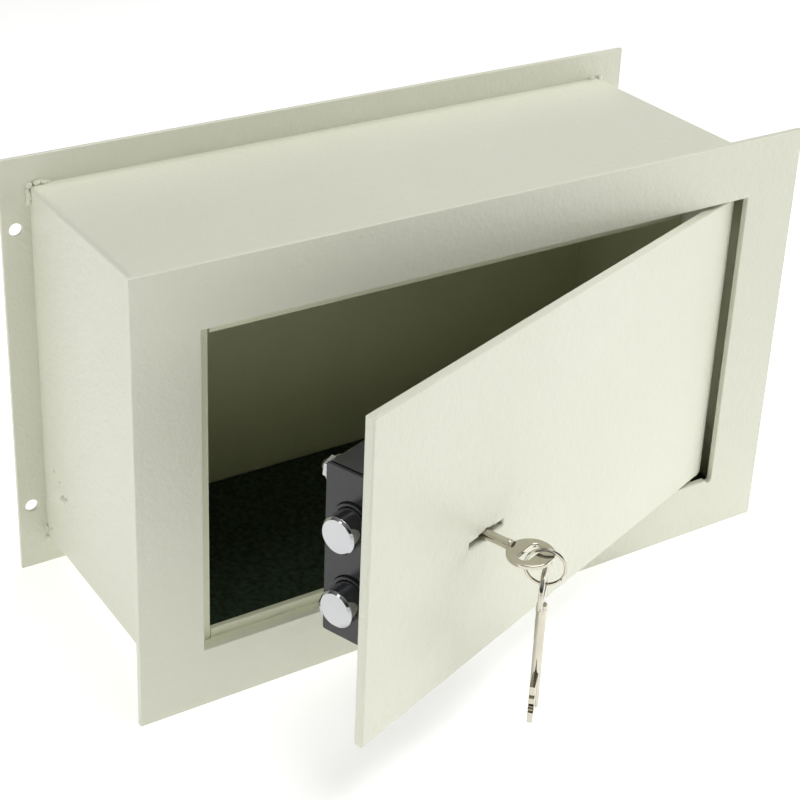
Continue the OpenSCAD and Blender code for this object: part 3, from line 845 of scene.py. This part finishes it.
def stud_centres():
    """The four studs' places in the door's frame, inset from the case's corners."""
    low, high = local_box("lock_case", DOOR)
    xs = (low.x + STUD_INSET, high.x - STUD_INSET)
    ys = (low.y + STUD_INSET, high.y - STUD_INSET)
    return [(x, y) for x in xs for y in ys]


def cap_nut_mesh():
    """A hexagon cap nut with rounded corners and a dome, standing on Z = 0."""
    corner_r, height, dome = 4.6, 2.4, 2.9
    hexagon = lathe([(0, 0), (corner_r, 0), (corner_r, height), (0, height)], 6)
    work = bmesh.new()
    work.from_mesh(hexagon)
    bmesh.ops.bevel(work, geom=work.edges[:], offset=0.28, segments=3, profile=0.5, affect="EDGES")
    work.to_mesh(hexagon)
    work.free()
    profile = [(0, 0.4), (dome - 0.1, 0.4), (dome - 0.1, height - 0.1)]
    for i in range(10):
        a = math.radians(4 + 86 * i / 9)
        profile.append((dome * math.cos(a) if i < 9 else 0, height + dome * math.sin(a)))
    return joined([hexagon, lathe(profile, 48)])


def case_fastenings():
    """Cap nuts on washers at the case's corners, and the cap over the key's end."""
    into = turned(180, "X")
    washers = local_box("stud_washers", DOOR)
    nuts = local_box("cap_nuts", DOOR)
    washer_r, bore, thick = 5.5, 2.6, washers[1].z - washers[0].z
    washer_meshes, nut_meshes = [], []
    for i, (x, y) in enumerate(stud_centres()):
        profile = [(bore, 0), (washer_r - 0.15, 0), (washer_r, 0.15), (washer_r, thick - 0.2)]
        profile += [(washer_r - 0.2, thick), (bore + 0.1, thick), (bore, thick - 0.1)]
        washer_meshes.append(moved(lathe(profile, 48), x, y, washers[1].z, into))
        turn = into @ turned(17 + 23 * i, "Z")
        nut_meshes.append(moved(cap_nut_mesh(), x, y, nuts[1].z, turn))
    piece("case_washers", joined(washer_meshes), DOOR, "door", "bright_chrome", ["stud_washers"])
    piece("case_cap_nuts", joined(nut_meshes), DOOR, "door", "bright_chrome", ["cap_nuts"], sharp=40)

    low, high = local_box("key_end_cap", DOOR)
    kx, ky = key_centre()
    deep = high.z - low.z
    flange, outer, inner = (high.x - low.x) / 2, 12.55, BORE_R
    profile = [(inner, 0), (flange - 0.2, 0), (flange, 0.2), (flange, 0.8), (flange - 0.2, 1.0)]
    profile += [(outer + 0.5, 1.0), (outer + 0.12, 1.15), (outer, 1.5), (outer, deep - 0.9)]
    profile += [(outer - 0.25, deep - 0.3), (outer - 0.9, deep), (0, deep)]
    profile += [(0, deep - 1.2), (inner, deep - 1.2)]
    cap = moved(lathe_open(profile), kx, ky, high.z, into)
    piece("key_tip_cap", cap, DOOR, "door", "black_paint", ["key_end_cap"], sharp=40)


def lathe_open(profile, steps=72):
    """A turned cup: a profile that meets the axis part-way and comes back."""
    split = next(i for i, p in enumerate(profile) if p[0] == 0)
    shell = lathe(profile[: split + 1], steps)
    lining = lathe(profile[split + 1:] + [profile[0]], steps)
    return welded(joined([shell, lining]))


# ---------------------------------------------------------------- keys

SHANK_R = 2.0
BIT_HALF = 10.5    # half of the span over both bits
BIT_T = 2.2
BIT_LEN = 16.5
KEY_LEN = 63.2
BOW_LEN = 17.6
BOW_HALF = 9.4     # half of the bow's width
BOW_T = 1.8
BOW_RIM = 6.7      # from the bow's end to its slot
SLOT_W = 4.4
SLOT_HALF = 6.2    # half of the slot's length
# each notch in the bits: distance from the tip, width, depth
NOTCHES = ((4.6, 1.3, 2.2), (6.1, 1.3, 1.2), (7.6, 1.2, 2.6), (11.2, 1.6, 1.8))


def blade_mesh():
    """Shank and notched bits, along +Y from the bow's end; the bits lie in the XY plane."""
    start = BOW_LEN - 1.2
    length = KEY_LEN - start
    profile = [(0, 0), (SHANK_R, 0), (SHANK_R, length - 0.5), (SHANK_R - 0.15, length - 0.15)]
    profile += [(SHANK_R - 0.5, length), (0.95, length)]
    profile += [(0.8, length - 0.2), (0.8, length - 6), (0, length - 6)]
    shank = moved(lathe(profile, 40), 0, start, 0, turned(-90, "X"))
    tip, root = KEY_LEN, KEY_LEN - BIT_LEN
    edge = [(BIT_HALF, root)]
    for away, width, deep in sorted(NOTCHES, reverse=True):
        far, near = tip - away - width, tip - away
        edge += [(BIT_HALF, far), (BIT_HALF - deep, far), (BIT_HALF - deep, near), (BIT_HALF, near)]
    edge.append((BIT_HALF, tip))
    outline = edge + [(-x, y) for x, y in reversed(edge)]
    bits = plate([outline], -BIT_T / 2, BIT_T / 2, 0.12)
    return joined([shank, bits])


def bow_mesh():
    """The oval bow with its slot and neck, the collar it sits in, and a small rivet through both."""
    r = BOW_LEN / 2
    spread = BOW_HALF - r
    neck, neck_end = 2.4, BOW_LEN + 2.5
    lift = math.degrees(math.acos((neck - spread) / r))
    outline = (
        [(-neck, neck_end)]
        + arc(-spread, r, r, 180 - lift, 270, 22)
        + arc(spread, r, r, 270, 360 + lift, 22)
        + [(neck, neck_end)]
    )
    mid = BOW_RIM + SLOT_W / 2
    sr = SLOT_W / 2
    slot = arc(SLOT_HALF - sr, mid, sr, -90, 90, 12) + arc(sr - SLOT_HALF, mid, sr, 90, 270, 12)
    flat = plate([outline, slot], -BOW_T / 2, BOW_T / 2, 0.5)
    collar = [(0, 0), (SHANK_R, 0), (SHANK_R + 0.14, 0.25), (SHANK_R + 0.14, 2.2), (SHANK_R, 2.5), (0, 2.5)]
    sleeve = moved(lathe(collar, 40), 0, BOW_LEN - 0.2, 0, turned(-90, "X"))
    rivet = [(0, -SHANK_R - 0.22), (0.40, -SHANK_R - 0.18), (0.55, -SHANK_R), (0.55, SHANK_R)]
    rivet += [(0.40, SHANK_R + 0.18), (0, SHANK_R + 0.22)]
    return joined([flat, sleeve, moved(lathe(rivet, 24), 0, BOW_LEN + 1.1, 0)])


def keys():
    """The key in the lock, and the spare one that hangs from its ring."""
    kx, ky = key_centre()
    bow_high = local_box("key_bow", DOOR)[1]
    # key frame: x across the door, y into it, z up
    lock = shifted(DOOR, kx, ky, bow_high.z, turned(-90, "X"))
    piece("key_shank", blade_mesh(), lock, "key", "nickel", ["key_blade"], sharp=40)
    piece("key_head", bow_mesh(), lock, "key", "nickel", ["key_bow"], sharp=40)

    # spare key frame: x along the ring's normal, y down from the bow's top
    low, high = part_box("spare_key_bow")
    top = Vector(((low.x + high.x) / 2, (low.y + high.y) / 2, high.z))
    spare = axes(top, RING_NORMAL, -UP)
    piece("spare_shank", blade_mesh(), spare, "spare_key", "nickel", ["spare_key_blade"], sharp=40)
    piece("spare_head", bow_mesh(), spare, "spare_key", "nickel", ["spare_key_bow"], sharp=40)


WIRE_R = 0.6                 # of the plain ring in the CAD model, which the turns lie within
WIRE_HALVES = (0.55, 0.27)   # half of the flattened wire's size: outwards, and along the ring's axis
RING_TURNS = 1.92
RING_START = 215             # degrees
RING_STEPS = 150
LAYER = 0.30                 # from the ring's middle plane to each layer's middle
CROSSING = 0.06              # half of the part of a turn in which the wire changes layers


def split_ring():
    """Two turns of flattened wire."""
    low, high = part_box("key_ring")
    centre = (low + high) / 2
    place = axes(centre, -RING_ACROSS, UP)
    radius = (high.z - low.z) / 2 / MM - WIRE_R
    path, normals = [], []
    for i in range(RING_STEPS + 1):
        s = i / RING_STEPS
        a = math.radians(RING_START) + s * RING_TURNS * 2 * math.pi
        outward = Vector((math.cos(a), math.sin(a), 0))
        from_crossing = s * RING_TURNS - RING_TURNS / 2
        offset = LAYER * max(-1, min(1, from_crossing / CROSSING))
        path.append(outward * radius + Vector((0, 0, offset)))
        normals.append(outward)
    mesh = tube(path, normals, *WIRE_HALVES, 12)
    piece("split_ring", mesh, place, "ring", "nickel", ["key_ring"], sharp=50)


# ---------------------------------------------------------------- stage

FLOOR_HALF = 6.0     # metres


def stand_floor():
    """A plain floor under the lowest point of the object."""
    mesh = bpy.data.meshes.new("floor")
    half = FLOOR_HALF
    corners = [(-half, -half, 0), (half, -half, 0), (half, half, 0), (-half, half, 0)]
    mesh.from_pydata(corners, [], [(0, 1, 2, 3)])
    floor = bpy.data.objects.new("floor", mesh)
    floor.location.z = cad_box[0].z
    mesh.materials.append(floor_finish())
    bpy.context.scene.collection.objects.link(floor)


# name, place, aim, width, height, power; metres and watts
SOFTBOXES = (
    ("overhead", (0.38, -0.13, 1.5), (0, -0.1, 0), 1.4, 1.0, 17.4),
    ("right_low", (1.2, -0.7, 0.22), (0.05, -0.15, 0), 0.8, 0.4, 4.0),
    ("left_low", (-1.3, -0.1, 0.12), (-0.15, -0.1, -0.05), 1.0, 0.3, 2.2),
    ("left_high", (-1.2, -0.2, 0.9), (-0.15, -0.05, 0), 0.35, 0.35, 0.7),
)
# brightness of the dome, by height: at and below the horizon, above it, overhead
BACKDROP = 0.95
HORIZON = 0.09
ZENITH = 0.34
DARK_FRONT = 0.03               # instead of HORIZON, behind the viewer
FRONT_SECTOR = (-0.55, -0.15)   # the y directions between which the front gives way to the back


def softbox(name, place, aim, width, height, power):
    """A rectangular area light, turned towards what it lights."""
    light = bpy.data.lights.new(name, "AREA")
    light.shape = "RECTANGLE"
    light.size = width
    light.size_y = height
    light.energy = power
    obj = bpy.data.objects.new(name, light)
    obj.location = place
    obj.rotation_euler = (Vector(aim) - Vector(place)).to_track_quat("-Z", "Y").to_euler()
    bpy.context.scene.collection.objects.link(obj)


def sky_ramp(tree, height, stops):
    """Brightness of the surroundings by height, from (height, value) stops."""
    ramp = tree.nodes.new("ShaderNodeValToRGB")
    elements = ramp.color_ramp.elements
    while len(elements) < len(stops):
        elements.new(0.5)
    for element, (position, value) in zip(elements, stops):
        element.position = position
        element.color = (value, value, value, 1)
    tree.links.new(height, ramp.inputs["Fac"])
    return ramp.outputs["Color"]


def light_studio():
    """Soft lights in a dome that is bright low down and dim above, darkest behind the viewer."""
    for box in SOFTBOXES:
        softbox(*box)
    world = bpy.data.worlds.new("studio")
    world.use_nodes = True
    tree = world.node_tree
    background = tree.nodes["Background"]
    coords = tree.nodes.new("ShaderNodeTexCoord")
    split = tree.nodes.new("ShaderNodeSeparateXYZ")
    tree.links.new(coords.outputs["Generated"], split.inputs["Vector"])
    backdrop = ((0.0, BACKDROP), (0.15, BACKDROP))
    back_sky = backdrop + ((0.19, HORIZON), (0.35, HORIZON), (0.8, ZENITH))
    front_sky = backdrop + ((0.19, DARK_FRONT), (0.40, DARK_FRONT), (0.8, ZENITH))
    back = sky_ramp(tree, split.outputs["Z"], back_sky)
    front = sky_ramp(tree, split.outputs["Z"], front_sky)
    sector = tree.nodes.new("ShaderNodeMapRange")
    sector.inputs["From Min"].default_value, sector.inputs["From Max"].default_value = FRONT_SECTOR
    mix = tree.nodes.new("ShaderNodeMix")
    mix.data_type = "RGBA"
    tree.links.new(split.outputs["Y"], sector.inputs["Value"])
    tree.links.new(sector.outputs["Result"], mix.inputs["Factor"])
    tree.links.new(front, mix.inputs["A"])
    tree.links.new(back, mix.inputs["B"])
    tree.links.new(mix.outputs["Result"], background.inputs["Color"])
    background.inputs["Strength"].default_value = 1.0
    bpy.context.scene.world = world
    bpy.context.scene.view_settings.view_transform = "Standard"


CAMERA_AT = (-0.3810, -0.6259, 0.3600)
CAMERA_AZIMUTH = 32.28   # degrees from straight ahead, towards the right
CAMERA_DIP = 25.63
CAMERA_ROLL = 1.84
CAMERA_LENS = 81.13      # millimetres
CAMERA_SHIFT = (0.05, -0.15)


def stand_camera():
    """The camera where the photo was taken from."""
    a, e, t = (math.radians(v) for v in (CAMERA_AZIMUTH, CAMERA_DIP, CAMERA_ROLL))
    ahead = Vector((math.sin(a) * math.cos(e), math.cos(a) * math.cos(e), -math.sin(e)))
    right = Vector((math.cos(a), -math.sin(a), 0))
    up = right.cross(ahead)
    rolled = right * math.cos(t) + up * math.sin(t)
    data = bpy.data.cameras.new("camera")
    data.lens = CAMERA_LENS
    data.shift_x, data.shift_y = CAMERA_SHIFT
    data.clip_start, data.clip_end = 0.01, 50
    camera = bpy.data.objects.new("camera", data)
    camera.matrix_world = axes(Vector(CAMERA_AT), rolled, rolled.cross(ahead))
    bpy.context.scene.collection.objects.link(camera)
    bpy.context.scene.camera = camera


# ---------------------------------------------------------------- assembly

dress_cad_nodes()
face_plate()
door_stops()
box_body()
rear_plate()
weld_beads("rear_weld_beads", "back_welds", local_box("back_plate", BOX)[1].z, 1, SPATTER)
weld_beads("front_weld_beads", "front_welds", local_box("front_plate", BOX)[0].z, -1)
mat()
door_leaf()
lock_cover()
lock_bolts()
case_fastenings()
keys()
split_ring()
stand_floor()
light_studio()
stand_camera()
